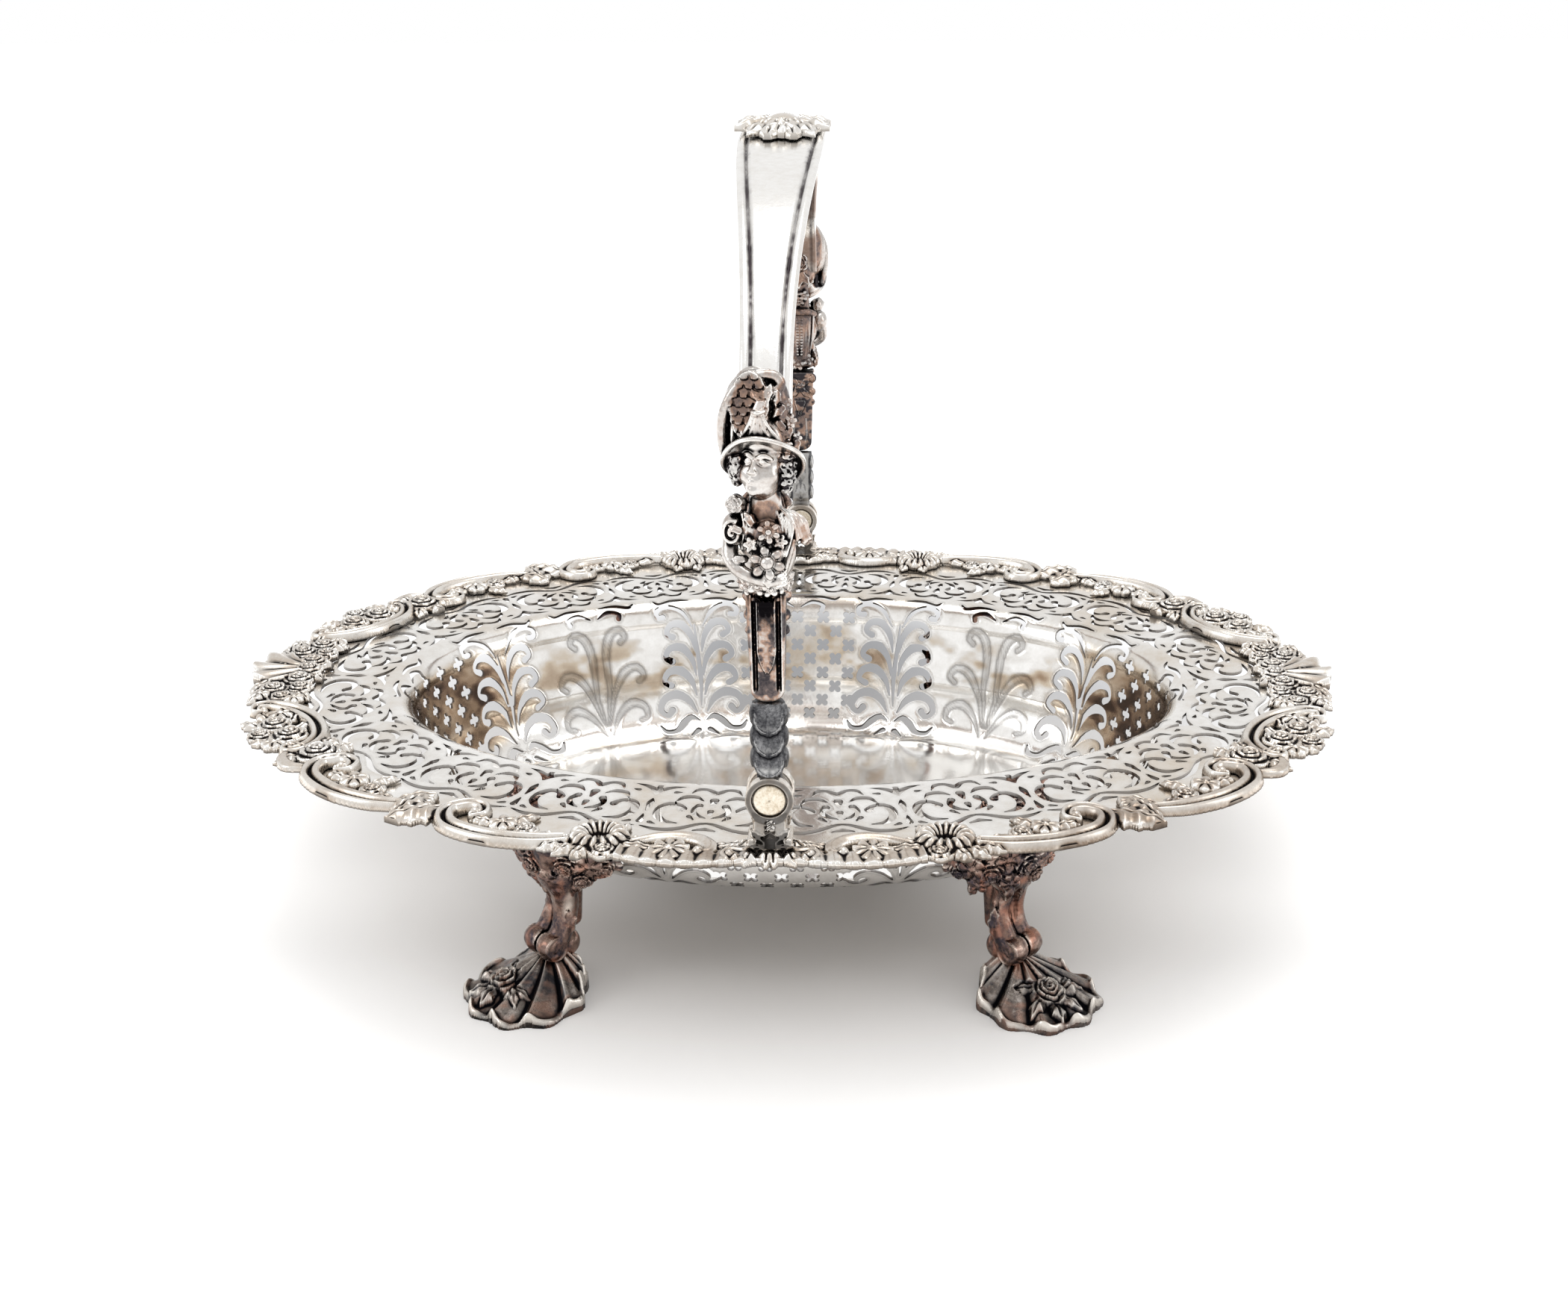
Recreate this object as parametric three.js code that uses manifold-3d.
// Oval silver basket: a raised and pierced body, a cast border in sections, a swing handle
// with a figure at each end, and four feet made of a mask, a scrolled leg and a shell.
// Millimetres, +Z up. The long axis lies along X, the handle turns on an axis along Y,
// and the origin is the middle of the footprint on the table.

import * as THREE from 'three';
import { mergeVertices } from 'three/addons/utils/BufferGeometryUtils.js';
import Module from 'manifold-3d';

const wasm = await Module();
wasm.setup();

// Room left between two separate pieces
const GAP = 0.3;

// Body, raised from one sheet
const SHEET = 1.1;
const MOUTH_HALF_LENGTH = 129;
const MOUTH_HALF_WIDTH = 81;
const FLANGE_HALF_LENGTH = 177;
const FLANGE_HALF_WIDTH = 135;
const FLANGE_TOP = 77.2;
const FLOOR_TOP = 30;
const WALL_LEAN = 6;
const CORNER_RADIUS = 18;
const SHOULDER_RADIUS = 5;
const LIP = 2;
const BODY_FACETS = 36;

// Piercing of the wall
const PUNCH_TAPER = 24;
const DIAPER_PITCH = 6.8;
const DIAPER_RADIUS = 3.1;
const DIAPER_REACH = [3, 2];
const DIAPER_ROWS = 3;
const DIAPER_START = 4.5;
const SPRAY_OFFSET = [48, 38];
const SPRAY_LEAF = 16;
const SPRAY_LEAF_WIDTH = 4;
const SPRAY_SCROLL = 22;
const SPRAY_SCROLL_WIDTH = 5;
const SPRAY_BEND = 2.1;

// Piercing of the flange. Apart from the count and the bend these are shares of the flange's open width.
const FLANGE_CELLS = 14;
const FLANGE_BEND = 2.4;
const PATTERN_PLACE = 0.39;
const SCROLL_LENGTH = 0.46;
const SCROLL_WIDTH = 0.146;
const SCROLL_START = [0.122, -0.268];
const LEAF_LENGTH = 0.49;
const LEAF_WIDTH = 0.1;
const TRIANGLE_RADIUS = 0.195;
const TRIANGLE_PLACE = 0.244;

// Cast border, soldered on the flange's edge. The runs are lengths along the edge from the middle of a hinge:
// half its shell, four castings and half of the end's. They are stretched to fill a quarter of the edge.
const EDGE_OVERHANG = 4;
const EDGE_BULGE = 4;
const RIB_HALF_WIDTH = 2.5;
const RIB_HEIGHT = 3.4;
const VOLUTE_RADIUS = 4.4;
const VOLUTE_INSET = 2.6;
const PANEL_RUNS = [14, 46, 58, 56, 48, 30.4];
const JOIN_RUNS = [18, 16, 12, 0];
const JOIN_OVERLAP = 2.5;
const JOIN_INSET = 5;
const JOIN_LEAF = 18;
const FAN_ROOT = 17;
const SIDE_INSET = 6;
const SHELL_FLOWER = 4;
const END_FLOWER = 9;
const END_SIDE_FLOWER = 7.5;
const END_LEAF_LENGTH = 16;
const END_LEAF_WIDTH = 9;

// Hinge of the handle
const HINGE_INSET = 3.5;
const CHEEK_RADIUS = 6.6;
const CHEEK_THICKNESS = 3;
const FORK_WIDTH = 4;
const PIN_RADIUS = 2.3;
const PIN_HEAD_RADIUS = 4.65;
const PIN_HEAD_SINK = 1.1;
const EYE_RADIUS = 5.6;
const BRACKET_BASE = 3;
const FORK_ROOM = 5.7;
const HINGE_FACETS = 12;

// Handle above the hinge
const LINK_WIDTH = 9.2;
const LINK_DEPTH = 6;
const LINK_START = 7.4;
const LINK_TOP = 28;
const TERM_TOP = 60;
const TERM_WIDTH = 10.8;
const TERM_LEAN = 4;
const FIGURE_HEIGHT = 40;
const STRAP_TOP = 164;
const STRAP_THICKNESS = 3;
const STRAP_WIDTH_TOP = 27.4;
const STRAP_WIDTH_END = 13;
const STRAP_EDGE = 1.2;
const STRAP_STEPS = 20;
const STRAP_ROUTE = [
  [0, 0], [0.24, 0.045], [0.47, 0.165], [0.69, 0.37], [0.855, 0.61], [0.95, 0.83], [0.985, 1],
];
const CREST_LENGTH = 46;
const CREST_HEIGHT = 4.5;
const CREST_OVERHANG = 0.8;

// Figure, in shares of its height. A section is its height, how far it stands out from the hinge's axis,
// and its half-widths across and through. A route's points are across, out and up.
const FIGURE_BODY = [
  [0, 0.112, 0.15, 0.145], [0.04, 0.118, 0.185, 0.165], [0.085, 0.135, 0.15, 0.12], [0.25, 0.2, 0.225, 0.14],
  [0.4, 0.235, 0.27, 0.14], [0.5, 0.25, 0.162, 0.12], [0.575, 0.26, 0.092, 0.092], [0.66, 0.28, 0.095, 0.1],
];
const FIGURE_HEAD = [
  [0.625, 0.3, 0.08, 0.09], [0.712, 0.3, 0.135, 0.15], [0.87, 0.285, 0.155, 0.165],
  [1.05, 0.27, 0.15, 0.15], [1.2, 0.16, 0.125, 0.12],
];
const BRIM = { radius: 0.26, thickness: 0.035, reach: 0.255, height: 0.9, tilt: 48 };
const CONSOLE = { width: 0.275, depth: 0.3, height: 0.225, reach: 0.0375, middle: 0.863 };
const FIGURE_ARM = [[0.26, 0.235, 0.388], [0.27, 0.35, 0.225], [0.125, 0.42, 0.135], [0, 0.42, 0.15]];
const FIGURE_VOLUTE = [
  [0, 0.365, 0.95], [0, 0.385, 1.15], [0, 0.288, 1.35], [0, 0.125, 1.438], [0, -0.012, 1.375],
];
const VOLUTE_HALF_WIDTH = 0.145;
const BLOOMS = [[0.0375, 0.485, 0.46, 0.09], [0.03, 0.51, 0.28, 0.112]];

// Feet
const FOOT_PLACE = 58.45;
const FOOT_SPLAY = 48;
const SHELL_FOOT_RADIUS = 19.5;
const SHELL_FOOT_HEIGHT = 12;
const SHELL_FOOT_REACH = 18.5;
const ANKLE_REACH = 9;
const ANKLE_RADIUS = 4.6;
const KNEE_REACH = 9;
const KNEE_SWELL = 1.1;
const LEG_HEADROOM = 1;
const LEG_ROUTE = [
  [ANKLE_REACH, 0.05], [5.5, 0.15], [4.2, 0.27], [6, 0.45], [KNEE_REACH, 0.65], [KNEE_REACH, 0.85], [9.5, 1],
];
const TOE_WIDTH = 6.4;
const SHELL_FLUTES = 9;
const SHELL_ROSE = 5.4;

// The shell's sections: height, size, depth of the flutes and how far back to the ankle, all in shares
const SHELL_SECTIONS = [
  [0, 1, 0.07, 0], [0.13, 1, 0.07, 0], [0.38, 0.7, 0.05, 0.3], [0.7, 0.46, 0.04, 0.7], [1, 0.34, 0, 1],
];

const UP = new THREE.Vector3(0, 0, 1);
const SIDEWAYS = new THREE.Vector3(1, 0, 0);

// Finishes
const silver = (name, color, roughness) => new THREE.MeshStandardMaterial({
  name, color, roughness, metalness: 1,
});
const polished = silver('polished_silver', 0xe6e3dc, 0.18);
const castSilver = silver('cast_silver', 0xcfc8bd, 0.34);
const oxidised = silver('oxidised_silver', 0x9a8f86, 0.42);
const tarnished = silver('tarnished_silver', 0x5d4a45, 0.4);

// A watertight solid from a closed geometry, whose shared corners are merged first
function solid(geometry) {
  const bare = geometry.clone();
  bare.deleteAttribute('normal');
  bare.deleteAttribute('uv');
  const merged = mergeVertices(bare, 1e-4);
  return new wasm.Manifold(new wasm.Mesh({
    numProp: 3,
    vertProperties: Float32Array.from(merged.attributes.position.array),
    triVerts: Uint32Array.from(merged.index.array),
  }));
}

const fuse = (parts) => parts.reduce((whole, part) => whole.add(part));

// A named mesh from a solid
function piece(name, body, material) {
  const mesh = body.getMesh();
  const geometry = new THREE.BufferGeometry();
  geometry.setAttribute('position', new THREE.BufferAttribute(mesh.vertProperties, 3));
  geometry.setIndex(new THREE.BufferAttribute(mesh.triVerts, 1));
  const named = new THREE.Mesh(geometry, material);
  named.name = name;
  return named;
}

// Skin over a row of rings with equal counts of points, closed by a fan at each end
function loft(rings) {
  const count = rings[0].length;
  const points = rings.flat();
  const middle = (ring) => ring
    .reduce((sum, p) => sum.add(p), new THREE.Vector3())
    .divideScalar(count);
  points.push(middle(rings[0]), middle(rings[rings.length - 1]));
  const first = points.length - 2;
  const last = points.length - 1;
  const top = (rings.length - 1) * count;
  const faces = [];
  for (let j = 0; j < count; j += 1) {
    const k = (j + 1) % count;
    for (let i = 0; i < rings.length - 1; i += 1) {
      const a = i * count;
      faces.push([a + j, a + k, a + count + k], [a + j, a + count + k, a + count + j]);
    }
    faces.push([first, k, j], [last, top + j, top + k]);
  }
  return solid(facesOutward(points, faces));
}

// Geometry from points and triangles, turned so that its faces point out
function facesOutward(points, faces) {
  const volume = faces.reduce((sum, [a, b, c]) => (
    sum + points[a].dot(points[b].clone().cross(points[c]))), 0);
  const turned = volume < 0 ? faces.map(([a, b, c]) => [a, c, b]) : faces;
  const geometry = new THREE.BufferGeometry().setFromPoints(points);
  geometry.setIndex(turned.flat());
  return geometry;
}

// Sweep along a path that lies in a plane: u runs across the path, v along the plane's normal
function sweep(path, normal, section) {
  const last = path.length - 1;
  return loft(path.map((point, i) => {
    const along = path[Math.min(i + 1, last)].clone().sub(path[Math.max(i - 1, 0)]).normalize();
    const across = new THREE.Vector3().crossVectors(normal, along);
    return section(i / last).map(([u, v]) => (
      point.clone().addScaledVector(across, u).addScaledVector(normal, v)));
  }));
}

const smooth = (points, count) => new THREE.CatmullRomCurve3(points).getSpacedPoints(count);

// Points round an ellipse with lobes: lobe is the depth of the waves and lobes their number
function lobedRing(rx, ry, count, lobes = 0, lobe = 0) {
  return Array.from({ length: count }, (_, i) => {
    const angle = (i / count) * 2 * Math.PI;
    const r = 1 + lobe * Math.cos(lobes * angle);
    return [rx * r * Math.cos(angle), ry * r * Math.sin(angle)];
  });
}

// An oval seen from above, walked along its edge from its +X end
function ovalTrack(a, b) {
  const curve = new THREE.EllipseCurve(0, 0, a, b, 0, 2 * Math.PI);
  curve.arcLengthDivisions = 800;
  const length = curve.getLength();
  return {
    length,
    at(s, out = 0) {
      const u = (((s / length) % 1) + 1) % 1;
      const point = curve.getPointAt(u);
      const along = curve.getTangentAt(u);
      const outward = new THREE.Vector3(along.y, -along.x, 0);
      return {
        point: new THREE.Vector3(point.x, point.y, 0).addScaledVector(outward, out),
        along: new THREE.Vector3(along.x, along.y, 0),
        outward,
      };
    },
  };
}

const mouth = ovalTrack(MOUTH_HALF_LENGTH, MOUTH_HALF_WIDTH);
const edge = ovalTrack(FLANGE_HALF_LENGTH + EDGE_OVERHANG, FLANGE_HALF_WIDTH + EDGE_OVERHANG);
const hingeReach = FLANGE_HALF_WIDTH - HINGE_INSET;

// The flange from the shoulder to its edge, where it is narrowest
const flangeWidth = Math.min(FLANGE_HALF_LENGTH - MOUTH_HALF_LENGTH, FLANGE_HALF_WIDTH - MOUTH_HALF_WIDTH)
  - SHOULDER_RADIUS - LIP;

// Body

const wallHeight = FLANGE_TOP - SHOULDER_RADIUS - FLOOR_TOP - CORNER_RADIUS;
const wallSlope = Math.atan2(WALL_LEAN, wallHeight);
const wallLength = Math.hypot(WALL_LEAN, wallHeight);

// The sheet's section from the floor's edge to the shoulder: how far in from the mouth, and how high.
// skin is 0 on the upper face and the sheet's thickness on the lower one.
function bodySection(skin) {
  const quarter = Math.PI / 2;
  const corner = [0, 1, 2, 3].map((i) => {
    const angle = (i / 3) * quarter;
    const radius = CORNER_RADIUS + skin;
    return [
      WALL_LEAN + CORNER_RADIUS - radius * Math.sin(angle),
      FLOOR_TOP + CORNER_RADIUS - radius * Math.cos(angle),
    ];
  });
  const shoulder = [0, 1, 2].map((i) => {
    const angle = (i / 2) * quarter;
    const radius = SHOULDER_RADIUS - skin;
    return [
      radius * Math.cos(angle) - SHOULDER_RADIUS,
      FLANGE_TOP - SHOULDER_RADIUS + radius * Math.sin(angle),
    ];
  });
  return [...corner, ...shoulder];
}

// Floor, wall and shoulder, with a lip that runs into the flange
function bowl() {
  const face = (skin) => {
    const section = [...bodySection(skin), [-SHOULDER_RADIUS - LIP, FLANGE_TOP - skin]];
    return section.map(([inset, z]) => mouthOval(-inset).map(({ x, y }) => new THREE.Vector3(x, y, z)));
  };
  return loft([...face(0), ...face(SHEET).reverse()]);
}

// The mouth's oval moved out by the same distance all round, so that every facet of the wall is flat
function mouthOval(out) {
  const ring = lobedRing(MOUTH_HALF_LENGTH, MOUTH_HALF_WIDTH, BODY_FACETS);
  const oval = ring.map(([x, y]) => new THREE.Vector2(x, y));
  const normal = (i) => {
    const { x, y } = oval[(i + 1) % BODY_FACETS].clone().sub(oval[i % BODY_FACETS]).normalize();
    return new THREE.Vector2(y, -x);
  };
  return oval.map((point, i) => {
    const before = normal(i + BODY_FACETS - 1);
    const after = normal(i);
    return point.clone().addScaledVector(before.clone().add(after), out / (1 + before.dot(after)));
  });
}

// A long punch with the outline's shape where it meets the sheet's upper face, narrowing to a point inside
function punch(outline, origin, x, y) {
  const outward = new THREE.Vector3().crossVectors(x, y);
  const start = 3 * SHEET;
  const grow = 1 + start / PUNCH_TAPER;
  const base = origin.clone().addScaledVector(outward, start);
  const rim = outline.map(([u, v]) => base.clone().addScaledVector(x, u * grow).addScaledVector(y, v * grow));
  const apex = origin.clone().addScaledVector(outward, -PUNCH_TAPER);
  const count = rim.length;
  const sides = rim.map((_, j) => [(j + 1) % count, j, count]);
  const end = THREE.ShapeUtils.triangulateShape(outline.map(([u, v]) => new THREE.Vector2(u, v)), []);
  return solid(facesOutward([...rim, apex], [...sides, ...end]));
}

// Turned, moved and, for the other side of a pattern, mirrored outline
function placed(outline, x, y, turn = 0, side = 1) {
  const c = Math.cos(turn);
  const s = Math.sin(turn);
  const moved = outline.map(([u, v]) => [side * (x + u * c - v * s), y + u * s + v * c]);
  return side < 0 ? moved.reverse() : moved;
}

// Outlines of the small openings
const quatrefoil = (radius, turn) => Array.from({ length: 8 }, (_, i) => {
  const angle = turn + (i * Math.PI) / 4;
  const r = i % 2 === 0 ? radius : radius * 0.45;
  return [r * Math.cos(angle), r * Math.sin(angle)];
});

// A scroll that starts at the origin as a round end and tapers to a point while it bends to the left
function comma(length, width, bend) {
  const radius = length / bend;
  const onSide = (side) => [0, 0.5].map((t) => {
    const angle = t * bend;
    const r = radius + (side * width * (1 - 0.6 * t)) / 2;
    return [r * Math.sin(angle), radius - r * Math.cos(angle)];
  });
  const tip = [radius * Math.sin(bend), radius - radius * Math.cos(bend)];
  return [[-width * 0.4, 0], ...onSide(1), tip, ...onSide(-1).reverse()];
}

const slit = (length, width) => [[-length / 2, 0], [0, -width / 2], [length / 2, 0], [0, width / 2]];

// A triangle with hollow sides
const deltoid = (radius) => Array.from({ length: 6 }, (_, i) => {
  const angle = Math.PI / 2 + (i * Math.PI) / 3;
  const r = i % 2 === 0 ? radius : radius * 0.28;
  return [r * Math.cos(angle), r * Math.sin(angle)];
});

// A place on the wall: s along the mouth, v down the sheet from the shoulder
function wallPlace(s, v) {
  const turn = Math.max(0, (v - wallLength) / CORNER_RADIUS);
  const down = Math.min(v, wallLength);
  const angle = Math.PI / 2 - turn;
  const inset = turn > 0
    ? WALL_LEAN + CORNER_RADIUS * (1 - Math.sin(angle))
    : down * Math.sin(wallSlope);
  const z = turn > 0
    ? FLOOR_TOP + CORNER_RADIUS * (1 - Math.cos(angle))
    : FLANGE_TOP - SHOULDER_RADIUS - down * Math.cos(wallSlope);
  const lean = turn > 0 ? turn : wallSlope;
  const { point, along, outward } = mouth.at(s, -inset);
  const normal = outward.clone().multiplyScalar(Math.cos(lean)).addScaledVector(UP, -Math.sin(lean));
  return { origin: point.setZ(z), along, rise: normal.cross(along) };
}

function wallCut(outline, s, v) {
  const { origin, along, rise } = wallPlace(s, v);
  return punch(outline, origin, along, rise);
}

// Quatrefoils in staggered rows
function diaper(middle, reach, turn) {
  const cuts = [];
  for (let column = -reach; column <= reach; column += 1) {
    const stagger = Math.abs(column % 2);
    for (let row = 0; row < DIAPER_ROWS - stagger; row += 1) {
      const v = DIAPER_START + (row + stagger / 2) * 2 * DIAPER_PITCH;
      cuts.push(wallCut(quatrefoil(DIAPER_RADIUS, turn), middle + column * DIAPER_PITCH, v));
    }
  }
  return cuts;
}

// A spray: a leaf with a scroll that rises round it on each side
function spray(middle) {
  const leaf = placed(slit(SPRAY_LEAF, SPRAY_LEAF_WIDTH), 0, 0, Math.PI / 2);
  const scroll = comma(SPRAY_SCROLL, SPRAY_SCROLL_WIDTH, SPRAY_BEND);
  const scrolls = [1, -1].map((side) => placed(scroll, SPRAY_SCROLL_WIDTH * 0.7, 0, 0.3, side));
  return [
    wallCut(leaf, middle, SPRAY_LEAF),
    ...scrolls.map((outline) => wallCut(outline, middle, SPRAY_LEAF + SPRAY_SCROLL / 2)),
  ];
}

// Repeats of the flange: two facing scrolls under a hollow triangle, and a leaf between repeats
function flangePiercing() {
  const w = flangeWidth;
  const offset = SHOULDER_RADIUS + LIP + PATTERN_PLACE * w;
  const track = ovalTrack(MOUTH_HALF_LENGTH + offset, MOUTH_HALF_WIDTH + offset);
  const cell = track.length / FLANGE_CELLS;
  const leaf = placed(slit(LEAF_LENGTH * w, LEAF_WIDTH * w), 0, 0, Math.PI / 2);
  const triangle = placed(deltoid(TRIANGLE_RADIUS * w), 0, TRIANGLE_PLACE * w);
  const scroll = comma(SCROLL_LENGTH * w, SCROLL_WIDTH * w, FLANGE_BEND);
  const scrolls = [1, -1].map((side) => placed(scroll, SCROLL_START[0] * w, SCROLL_START[1] * w, 0, side));
  const onFlange = (outline, s) => {
    const { point, along, outward } = track.at(s);
    return outline.map(([u, v]) => (
      new THREE.Vector2(point.x + u * along.x + v * outward.x, point.y + u * along.y + v * outward.y)));
  };
  return Array.from({ length: FLANGE_CELLS }, (_, i) => [
    onFlange(leaf, i * cell),
    ...[triangle, ...scrolls].map((outline) => onFlange(outline, (i + 0.5) * cell)),
  ]).flat();
}

// Flat oval ring with its piercing
function flange() {
  const rim = lobedRing(FLANGE_HALF_LENGTH, FLANGE_HALF_WIDTH, BODY_FACETS);
  const shape = new THREE.Shape(rim.map(([x, y]) => new THREE.Vector2(x, y)));
  const holes = [mouthOval(SHOULDER_RADIUS + LIP / 2), ...flangePiercing()];
  shape.holes = holes.map((outline) => new THREE.Path(outline));
  const geometry = new THREE.ExtrudeGeometry(shape, { depth: SHEET, bevelEnabled: false });
  return solid(geometry.translate(0, 0, FLANGE_TOP - SHEET));
}

function piercedBody() {
  const quarter = mouth.length / 4;
  const cuts = [];
  for (let i = 0; i < 4; i += 1) {
    const side = i % 2;
    cuts.push(...diaper(i * quarter, DIAPER_REACH[side], side * (Math.PI / 4)));
    cuts.push(...spray(i * quarter - SPRAY_OFFSET[side]), ...spray(i * quarter + SPRAY_OFFSET[side]));
  }
  return bowl().subtract(fuse(cuts)).add(flange());
}

// Border: every casting is laid out along the edge, p from the middle of its hinge or end, q outward

const castingBase = FLANGE_TOP + GAP;
const quarterEdge = edge.length / 4;
const runLength = (count) => PANEL_RUNS.slice(0, count).reduce((sum, run) => sum + run, 0);
const panelEnds = PANEL_RUNS.map((_, i) => (quarterEdge * runLength(i + 1)) / runLength(PANEL_RUNS.length));

function edgePlace(middle, side) {
  return (p, q, z = castingBase) => edge.at(middle + side * p, q).point.setZ(z);
}

// A low boss over an outline, drawn in toward its top
function boss(outline, place, base, height, draw) {
  const cx = outline.reduce((sum, [p]) => sum + p, 0) / outline.length;
  const cy = outline.reduce((sum, [, q]) => sum + q, 0) / outline.length;
  const ring = (scale, z) => outline.map(([p, q]) => place(cx + (p - cx) * scale, cy + (q - cy) * scale, z));
  return loft([ring(1, base), ring(draw, base + height)]);
}

const flowerOutline = (radius, p, q) => (
  lobedRing(radius, radius, 10, 5, 0.16).map(([u, v]) => [p + u, q + v]));

function leafOutline(length, width, p, q, turn) {
  const half = [[0, 0.3], [0.22, 1], [0.4, 0.7], [0.62, 0.85], [0.75, 0.45]];
  const outline = [...half, [1, 0], ...half.map(([u, v]) => [u, -v]).reverse()];
  return placed(outline.map(([u, v]) => [u * length, (v * width) / 2]), p, q, turn);
}

// A moulded C scroll that follows the edge from one volute to the other
function scrollRib(from, to, place) {
  const volute = (middle, side) => [0, -75, -150, -230].map((degrees) => {
    const angle = THREE.MathUtils.degToRad(degrees);
    return [
      middle + side * VOLUTE_RADIUS * Math.cos(angle),
      VOLUTE_RADIUS * (Math.sin(angle) - 1) - VOLUTE_INSET,
    ];
  });
  const inset = VOLUTE_RADIUS + RIB_HALF_WIDTH + GAP;
  const crown = EDGE_BULGE - RIB_HALF_WIDTH;
  const arch = [0.3, 0.5, 0.7].map((t) => [
    from + (to - from) * t,
    crown * (0.3 + 2.8 * t * (1 - t)),
  ]);
  const route = [...volute(from + inset, 1), ...arch, ...volute(to - inset, -1).reverse()];
  const path = route.map(([p, q]) => place(p, q));
  const w = RIB_HALF_WIDTH;
  const h = RIB_HEIGHT;
  return sweep(path, UP, () => [[-w, 0], [w, 0], [w * 0.6, h], [-w * 0.6, h * 0.9]]);
}

// Scroll, and the ornament that joins it to the next one
function borderCasting(name, index, middle, side) {
  const place = edgePlace(middle, side);
  const from = panelEnds[index] + GAP / 2;
  const to = panelEnds[index + 1] - GAP / 2;
  const join = JOIN_RUNS[index];
  const scrollEnd = to - join;
  const parts = [scrollRib(from, scrollEnd, place)];
  const joinAt = to - join / 2 - JOIN_OVERLAP / 2;
  const joinRadius = (join + JOIN_OVERLAP) / 2;
  if (index === 1) {
    const leaf = leafOutline(JOIN_LEAF, 2 * joinRadius, joinAt, EDGE_BULGE - JOIN_LEAF, Math.PI / 2);
    parts.push(boss(leaf, place, castingBase, RIB_HEIGHT, 0.5));
  } else if (join > 0) {
    const flower = flowerOutline(joinRadius, joinAt, -JOIN_INSET);
    parts.push(boss(flower, place, castingBase, 1.18 * RIB_HEIGHT, 0.45));
  }
  return piece(name, fuse(parts), castSilver);
}

// A fan of flutes that spreads outward from its root
function fanOutline(radius, spread, flutes, p, q) {
  const count = flutes * 2;
  const rim = Array.from({ length: count + 1 }, (_, i) => {
    const angle = Math.PI / 2 - spread / 2 + (spread * i) / count;
    const r = radius * (i % 2 === 0 ? 0.9 : 1);
    return [p + r * Math.cos(angle), q + r * Math.sin(angle)];
  });
  return [...rim, [p, q - radius / 20]];
}

// Leaf tip and flowers on the long axis
function endCasting(name, middle) {
  const place = edgePlace(middle, 1);
  const half = quarterEdge - panelEnds[4] - GAP / 2;
  const fan = fanOutline(EDGE_BULGE + FAN_ROOT, 2.2, 4, 0, -FAN_ROOT);
  const bloom = flowerOutline(END_FLOWER, 0, 0.12 * FAN_ROOT - FAN_ROOT);
  const parts = [
    boss(fan, place, castingBase, 1.24 * RIB_HEIGHT, 0.55),
    boss(bloom, place, castingBase, 1.41 * RIB_HEIGHT, 0.5),
  ];
  for (const side of [1, -1]) {
    const flower = flowerOutline(END_SIDE_FLOWER, side * (half - 1.2 * END_SIDE_FLOWER), -SIDE_INSET);
    parts.push(boss(flower, place, castingBase, RIB_HEIGHT, 0.5));
    const turn = side > 0 ? 0.1 : Math.PI - 0.1;
    const leafAt = 0.75 * side * END_LEAF_LENGTH;
    const leaf = leafOutline(END_LEAF_LENGTH, END_LEAF_WIDTH, leafAt, -EDGE_BULGE, turn);
    parts.push(boss(leaf, place, castingBase, RIB_HEIGHT, 0.4));
  }
  return piece(name, fuse(parts), castSilver);
}

// Shell under the hinge, with a volute on each side
function hingeShell(name, middle) {
  const place = edgePlace(middle, 1);
  const half = panelEnds[0] - GAP / 2;
  const parts = [
    boss(fanOutline(EDGE_BULGE + FAN_ROOT, 1.25, 4, 0, -FAN_ROOT), place, castingBase, RIB_HEIGHT, 0.8),
  ];
  for (const side of [1, -1]) {
    const flower = flowerOutline(SHELL_FLOWER, side * (half - 1.125 * SHELL_FLOWER), -SIDE_INSET);
    parts.push(boss(flower, place, castingBase, RIB_HEIGHT, 0.5));
  }
  return piece(name, fuse(parts), castSilver);
}

function border() {
  const group = new THREE.Group();
  const hinges = [['back', 1], ['front', 3]];
  const names = ['ruffle', 'leaf', 'rose', 'scroll'];
  for (const [where, quarter] of hinges) {
    group.add(hingeShell(`hinge_shell_${where}`, quarter * quarterEdge));
    for (const side of [1, -1]) {
      const hand = (side > 0) === (where === 'front') ? 'right' : 'left';
      names.forEach((ornament, index) => {
        group.add(borderCasting(`border_${ornament}_${where}_${hand}`, index, quarter * quarterEdge, side));
      });
    }
  }
  group.add(endCasting('border_end_right', 0), endCasting('border_end_left', 2 * quarterEdge));
  return group;
}

// Hinge bracket: two cheeks on a saddle, with the pin's bore and sunk seats for its heads
const bracketBase = castingBase + RIB_HEIGHT + GAP;
const hingeHeight = bracketBase + BRACKET_BASE + FORK_ROOM + EYE_RADIUS;
const barrelLength = 2 * CHEEK_THICKNESS + FORK_WIDTH;

// A round bar on the hinge's axis, in the hinge's own frame
function bar(radius, from, to) {
  const geometry = new THREE.CylinderGeometry(radius, radius, to - from, HINGE_FACETS);
  geometry.translate(0, (from + to) / 2, 0);
  return solid(geometry);
}

function box(x, y, z, width, depth, height) {
  return solid(new THREE.BoxGeometry(width, depth, height).translate(x, y, z));
}

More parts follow.
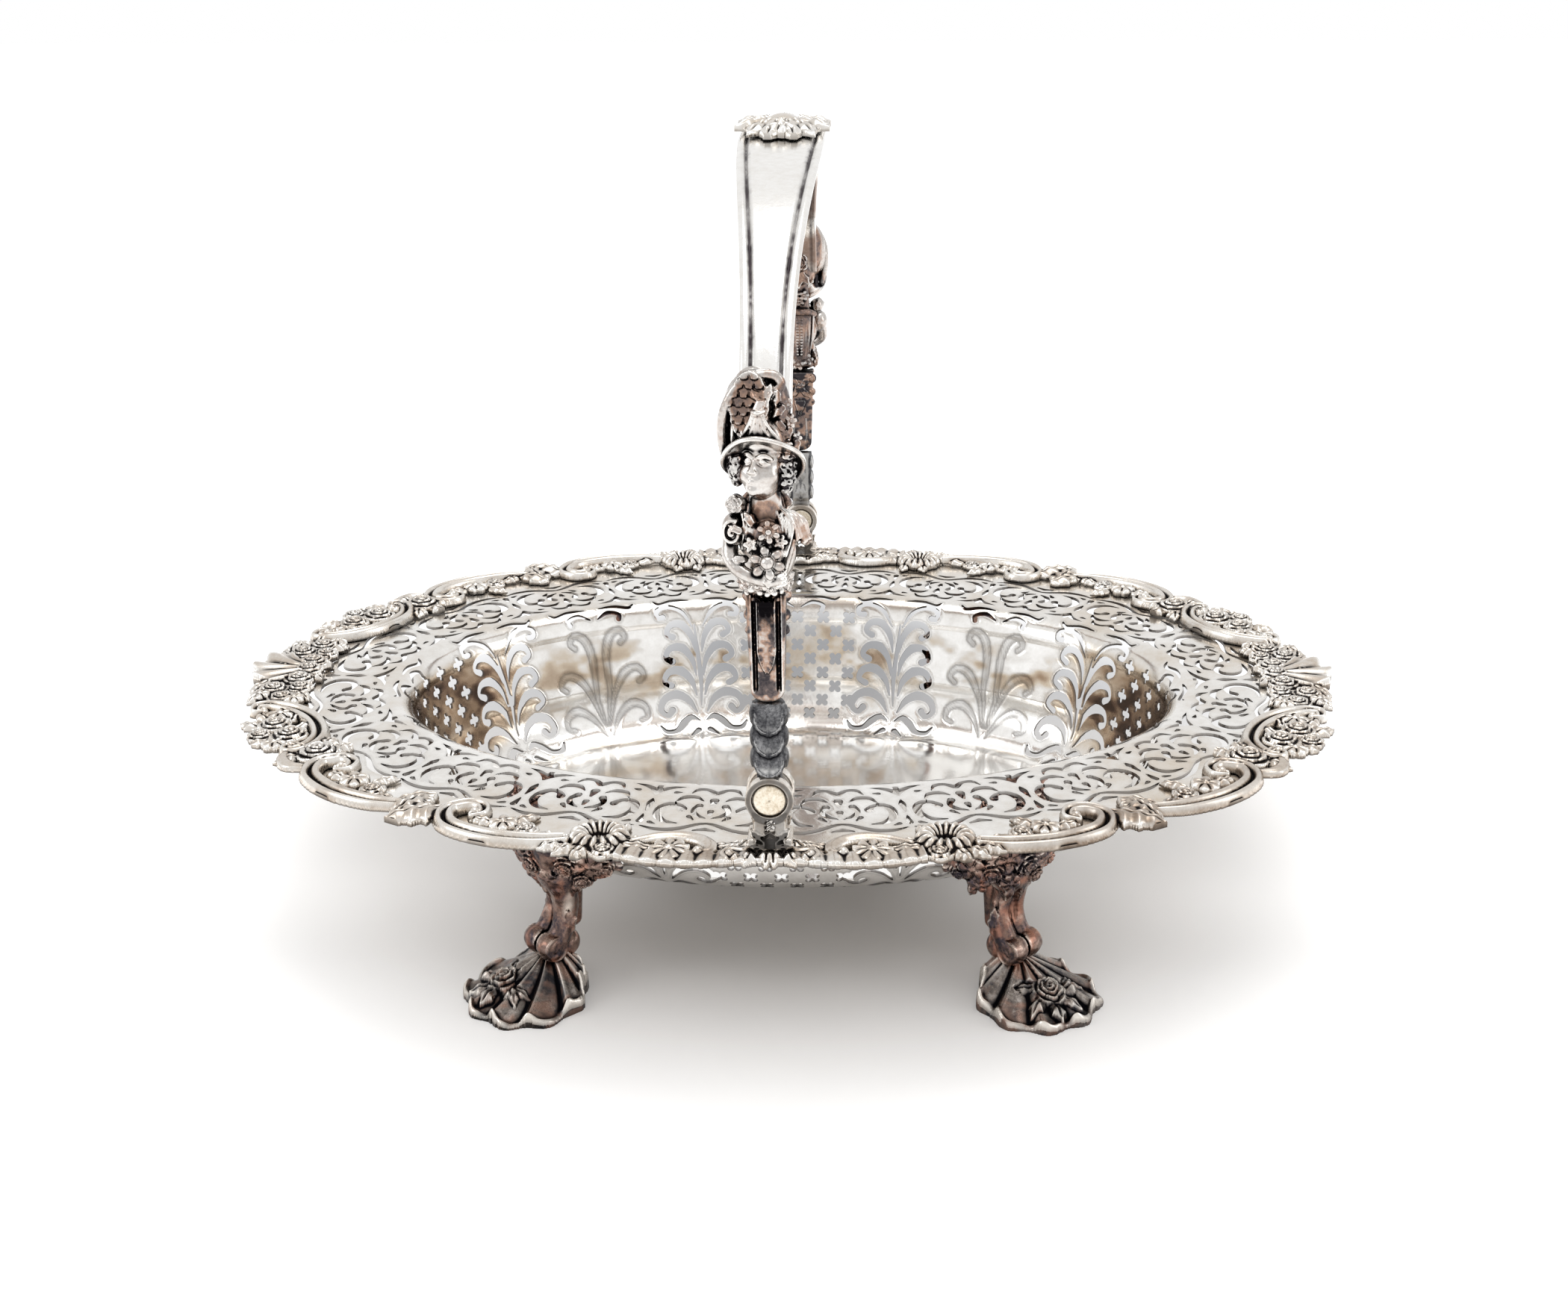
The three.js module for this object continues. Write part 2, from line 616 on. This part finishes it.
function hingeBracket(name) {
  const foot = bracketBase - hingeHeight;
  const half = barrelLength / 2;
  const neck = box(0, 0, foot / 2, 1.32 * CHEEK_RADIUS, barrelLength, -foot);
  const cheeks = bar(CHEEK_RADIUS, -half, half).add(neck);
  const forkHeight = 2 * CHEEK_RADIUS - foot - BRACKET_BASE;
  const fork = box(0, 0, foot + BRACKET_BASE + forkHeight / 2, 4 * CHEEK_RADIUS, FORK_WIDTH, forkHeight);
  const seat = PIN_HEAD_RADIUS + GAP;
  const cuts = fuse([
    fork,
    bar(PIN_RADIUS + GAP, -barrelLength, barrelLength),
    bar(seat, -barrelLength, PIN_HEAD_SINK - half),
    bar(seat, half - PIN_HEAD_SINK, barrelLength),
  ]);
  return piece(name, cheeks.subtract(cuts), castSilver);
}

function hingePin(name) {
  const half = barrelLength / 2;
  const neck = half - PIN_HEAD_SINK + GAP;
  const profile = [
    [0, -half - GAP], [PIN_HEAD_RADIUS, -half], [PIN_HEAD_RADIUS, -neck], [PIN_RADIUS, -neck],
    [PIN_RADIUS, neck], [PIN_HEAD_RADIUS, neck], [PIN_HEAD_RADIUS, half], [0, half + GAP],
  ];
  const geometry = new THREE.LatheGeometry(profile.map(([r, y]) => new THREE.Vector2(r, y)), HINGE_FACETS);
  return piece(name, solid(geometry), polished);
}

// Link: three overlapping leaves above an eye that turns in the fork
function link(name) {
  const tongue = FORK_WIDTH - 2 * GAP;
  const steps = 3;
  const rise = (LINK_TOP - LINK_START) / steps;
  const back = LINK_DEPTH / 2;
  const outline = [[back, LINK_START], [back, LINK_TOP]];
  for (let i = steps - 1; i >= 0; i -= 1) {
    outline.push([-0.7 * back, LINK_START + rise * (i + 1)], [-back, LINK_START + rise * (i + 0.15)]);
  }
  const rings = [-0.5, 0.5].map((side) => (
    outline.map(([y, z]) => new THREE.Vector3(side * LINK_WIDTH, y, z))));
  const web = box(0, 0, 0.6 * LINK_START, 1.3 * EYE_RADIUS, tongue, 1.2 * LINK_START);
  const eye = bar(EYE_RADIUS, -tongue / 2, tongue / 2).add(web);
  const bore = bar(PIN_RADIUS + GAP, -barrelLength, barrelLength);
  return piece(name, eye.subtract(bore).add(loft(rings)), oxidised);
}

// Rings of a turned-looking form: half-widths across and through, at a reach and a height
function forms(rows, count = 8) {
  return loft(rows.map(([z, reach, rx, ry]) => (
    lobedRing(rx, ry, count).map(([x, y]) => new THREE.Vector3(x, y - reach, z)))));
}

// Tapering pilaster between the link and the figure, with a groove down each side of its face
function term(name) {
  const bottom = LINK_TOP + GAP;
  const height = TERM_TOP - bottom;
  const half = TERM_WIDTH / 2;
  const face = [[-1, -0.55], [-0.72, -0.3], [-0.42, -0.75], [0.42, -0.75], [0.72, -0.3], [1, -0.55]];
  const section = [...face, [1, 0.55], [-1, 0.55]];
  const rings = [[0, 0.5, 0.55], [0.08, 0.86, 0.9], [0.54, 0.94, 1], [1, 1, 1.1]].map(([t, wide, deep]) => (
    section.map(([x, y]) => (
      new THREE.Vector3(x * half * wide, y * half * deep - t * TERM_LEAN, bottom + t * height)))));
  return piece(name, loft(rings), oxidised);
}

// A point given as across, out and up
const inward = (across, out, up) => new THREE.Vector3(across, -out, up);

// Figure in a brimmed hat that holds flowers, under a volute that leads up to the strap
function figure(name) {
  const foot = TERM_TOP + GAP;
  const size = FIGURE_HEIGHT;
  const sections = (rows, count) => forms(rows.map(([z, ...rest]) => (
    [foot + z * size, ...rest.map((share) => share * size)])), count);
  const route = (points) => points.map(([across, out, up]) => (
    inward(across * size, out * size, foot + up * size)));
  const arms = [1, -1].map((side) => {
    const path = smooth(route(FIGURE_ARM.map(([across, out, up]) => [side * across, out, up])), 4);
    return sweep(path, UP, () => lobedRing(0.05 * size, 0.05 * size, 5));
  });
  const blooms = BLOOMS.map(([across, out, up, radius]) => {
    const [middle] = route([[across, out, up]]);
    const place = (p, q, z) => new THREE.Vector3(middle.x + p, middle.y - z, middle.z + q - 0.3 * z);
    return boss(flowerOutline(radius * size, 0, 0), place, -0.1 * size, 0.14 * size, 0.55);
  });
  const [w, t] = [VOLUTE_HALF_WIDTH * size, 0.035 * size];
  const voluteSection = [[-t, -w], [t, -w], [1.35 * t, 0], [t, w], [-t, w]];
  const volute = sweep(smooth(route(FIGURE_VOLUTE), 7), SIDEWAYS, () => voluteSection);
  const console = box(0, -CONSOLE.reach * size, foot + CONSOLE.middle * size,
    CONSOLE.width * size, CONSOLE.depth * size, CONSOLE.height * size);
  const bust = [sections(FIGURE_BODY, 8), sections(FIGURE_HEAD, 10), brim(foot)];
  return piece(name, fuse([...bust, volute, console, ...arms, ...blooms]), oxidised);
}

// The hat's brim, tilted back
function brim(foot) {
  const size = FIGURE_HEIGHT;
  const disc = new THREE.CylinderGeometry(BRIM.radius * size, BRIM.radius * size, BRIM.thickness * size, 12);
  disc.rotateX(THREE.MathUtils.degToRad(90 - BRIM.tilt));
  disc.translate(0, -BRIM.reach * size, foot + BRIM.height * size);
  return solid(disc);
}

// Strap of the handle: an arch from one figure to the other, widest in the middle
const strapEnd = TERM_TOP + FIGURE_HEIGHT + GAP;

function strapPath() {
  const top = STRAP_TOP - STRAP_THICKNESS / 2;
  const side = STRAP_ROUTE.map(([y, z]) => [y * hingeReach, top - z * (top - strapEnd)]);
  const whole = [...side.slice(1).reverse().map(([y, z]) => [-y, z]), ...side];
  return smooth(whole.map(([y, z]) => new THREE.Vector3(0, y, z)), STRAP_STEPS);
}

function strap(name) {
  const t = STRAP_THICKNESS / 2;
  const section = (u) => {
    const towardEnd = Math.abs(2 * u - 1);
    const narrow = THREE.MathUtils.smoothstep(towardEnd, 0.08, 0.95);
    const w = (STRAP_WIDTH_TOP + (STRAP_WIDTH_END - STRAP_WIDTH_TOP) * narrow) / 2;
    const bead = w - STRAP_EDGE;
    const panel = bead - STRAP_EDGE;
    const half = [[t / 4, w], [t, bead], [t / 3, panel]];
    return [[-t, -w], [-t, w], ...half, ...half.map(([u, v]) => [u, -v]).reverse()];
  };
  return piece(name, sweep(strapPath(), SIDEWAYS.clone().negate(), section), polished);
}

// Leafy ornament that saddles the top of the strap
function crest(name) {
  const rows = 8;
  const arch = new THREE.CatmullRomCurve3(strapPath());
  const rings = Array.from({ length: rows + 1 }, (_, i) => {
    const y = CREST_LENGTH * (i / rows - 0.5);
    const seat = arch.getPoint(0.5 + y / (2.55 * hingeReach)).z + STRAP_THICKNESS / 2 + GAP;
    const full = Math.sin((Math.PI * (i + 0.8)) / (rows + 1.6));
    const w = (STRAP_WIDTH_TOP / 2 + CREST_OVERHANG) * (0.55 + 0.45 * full - (i % 2) * 0.1);
    const h = CREST_HEIGHT * (0.35 + 0.65 * full);
    const section = [[-1, 0], [1, 0], [0.94, 0.4], [0.5, 0.85], [0, 1], [-0.5, 0.85], [-0.94, 0.4]];
    return section.map(([x, z]) => new THREE.Vector3(x * w, y, seat + z * h));
  });
  return piece(name, loft(rings), castSilver);
}

function handle() {
  const group = new THREE.Group();
  group.position.z = hingeHeight;
  group.add(strap('handle_strap'), crest('handle_crest'));
  for (const [where, turn] of [['front', 0], ['back', Math.PI]]) {
    const end = new THREE.Group();
    end.rotation.z = turn;
    const upright = new THREE.Group();
    upright.position.y = -hingeReach;
    upright.add(link(`link_${where}`), term(`term_${where}`), figure(`figure_${where}`));
    end.add(upright);
    group.add(end);
  }
  return group;
}

function hingeFittings() {
  const group = new THREE.Group();
  for (const [where, side] of [['front', -1], ['back', 1]]) {
    const fitting = new THREE.Group();
    fitting.position.set(0, side * hingeReach, hingeHeight);
    fitting.add(hingeBracket(`hinge_bracket_${where}`), hingePin(`hinge_pin_${where}`));
    group.add(fitting);
  }
  return group;
}

// Feet, in a frame of their own: x across, -y outward, z up from the table

const flangeUnderside = FLANGE_TOP - SHEET;
const splay = THREE.MathUtils.degToRad(FOOT_SPLAY);
const footX = MOUTH_HALF_LENGTH * Math.cos(THREE.MathUtils.degToRad(FOOT_PLACE));
const footY = MOUTH_HALF_WIDTH * Math.sin(THREE.MathUtils.degToRad(FOOT_PLACE));

// Fluted shell that the leg stands on
function shellFoot(name) {
  const rings = SHELL_SECTIONS.map(([t, size, lobe, back]) => {
    const radius = SHELL_FOOT_RADIUS * size;
    const reach = SHELL_FOOT_REACH + back * (ANKLE_REACH - SHELL_FOOT_REACH);
    return lobedRing(radius, radius, 2 * SHELL_FLUTES, SHELL_FLUTES, lobe)
      .map(([x, y]) => inward(x, reach - y, t * SHELL_FOOT_HEIGHT));
  });
  const place = (p, q, z) => (
    inward(p, SHELL_FOOT_REACH + 1.5 * SHELL_ROSE - 0.75 * q, 0.38 * SHELL_FOOT_HEIGHT + z - 0.55 * q));
  const rose = boss(flowerOutline(SHELL_ROSE, 0, 0), place, 0, 0.75 * SHELL_ROSE, 0.45);
  return piece(name, loft(rings).add(rose), tarnished);
}

// Leg: two scrolls side by side with a groove between them, from the ankle to the knee
function leg(name) {
  const foot = SHELL_FOOT_HEIGHT + GAP;
  const span = flangeUnderside - LEG_HEADROOM - foot;
  const path = smooth(LEG_ROUTE.map(([reach, t]) => inward(0, reach, foot + t * span)), 8);
  const { smoothstep } = THREE.MathUtils;
  const r = ANKLE_RADIUS;
  const section = (u) => {
    const w = r * (1 + KNEE_SWELL * (smoothstep(u, 0.3, 0.65) - 0.75 * smoothstep(u, 0.8, 1)));
    const groove = [[0.87 * w, 0.52 * w], [0.65 * w, 0], [0.87 * w, -0.52 * w]];
    return [...groove, [0, -1.09 * w], [-0.74 * r, -0.78 * w], [-0.74 * r, 0.78 * w], [0, 1.09 * w]];
  };
  const toes = [1, -1].map((side) => {
    const roll = new THREE.CylinderGeometry(r, r, TOE_WIDTH, 10);
    roll.rotateZ(Math.PI / 2);
    roll.translate((side * (TOE_WIDTH + GAP)) / 2, -ANKLE_REACH - 0.65 * r, foot + r);
    return solid(roll);
  });
  return piece(name, fuse([sweep(path, SIDEWAYS, section), ...toes]), tarnished);
}

function feet() {
  const group = new THREE.Group();
  for (const [where, y] of [['front', -1], ['back', 1]]) {
    for (const [hand, x] of [['left', -1], ['right', 1]]) {
      const foot = new THREE.Group();
      foot.position.set(x * footX, y * footY, 0);
      foot.rotation.z = y < 0 ? x * splay : Math.PI - x * splay;
      foot.add(shellFoot(`foot_shell_${where}_${hand}`), leg(`leg_${where}_${hand}`));
      group.add(foot);
    }
  }
  return group;
}

const basket = new THREE.Group();
basket.add(piece('pierced_body', piercedBody(), polished));
basket.add(border(), hingeFittings(), handle(), feet());

export default basket;
